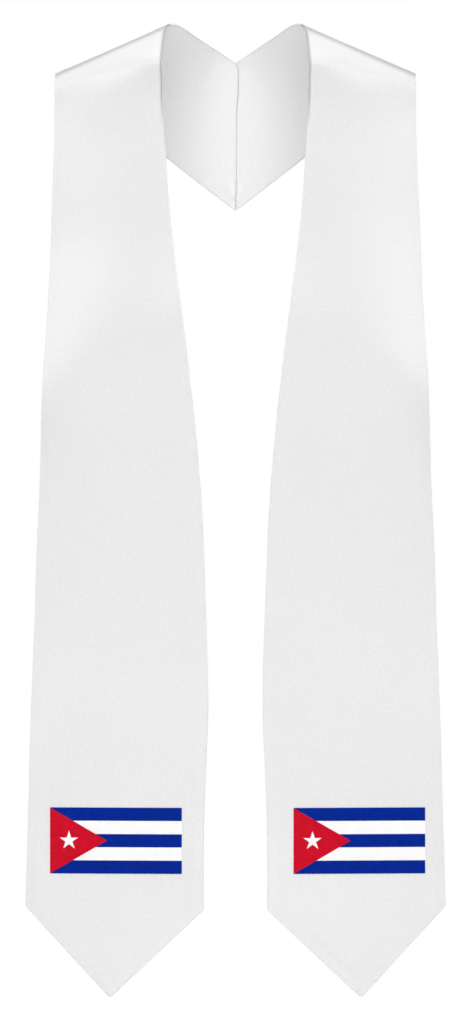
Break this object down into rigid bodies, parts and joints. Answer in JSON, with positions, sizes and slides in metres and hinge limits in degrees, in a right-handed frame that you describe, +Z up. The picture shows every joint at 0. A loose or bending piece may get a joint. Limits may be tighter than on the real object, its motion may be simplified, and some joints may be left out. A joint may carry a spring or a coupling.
{
  "type": "embroidered stole",
  "caption": "White satin V-neck stole with pointed ends and an embroidered striped flag on each end, shaped as it hangs when worn.",
  "frame": {"origin": "midway between the two shoulders, at the height where the cloth rolls over them, where the neck stands", "axes": "+X to the viewer's right when the stole is seen from the front, +Y towards the back of the neck, +Z up"},
  "size_m": [0.3292, 0.1761, 0.7742],
  "materials": {
    "satin": "white satin with a soft sheen",
    "lining": "white satin lining",
    "blue_thread": "stitched rayon thread",
    "white_thread": "stitched rayon thread",
    "red_thread": "stitched rayon thread"
  },
  "bodies": {
    "root": {"left_strip": "satin", "right_strip": "satin", "left_lining": "lining", "right_lining": "lining", "left_flag_top_stripe": "blue_thread", "left_flag_upper_stripe": "white_thread", "left_flag_middle_stripe": "blue_thread", "left_flag_lower_stripe": "white_thread", "left_flag_bottom_stripe": "blue_thread", "left_flag_triangle": "red_thread", "left_flag_star": "white_thread", "right_flag_top_stripe": "blue_thread", "right_flag_upper_stripe": "white_thread", "right_flag_middle_stripe": "blue_thread", "right_flag_lower_stripe": "white_thread", "right_flag_bottom_stripe": "blue_thread", "right_flag_triangle": "red_thread", "right_flag_star": "white_thread"}
  },
  "joints": []
}
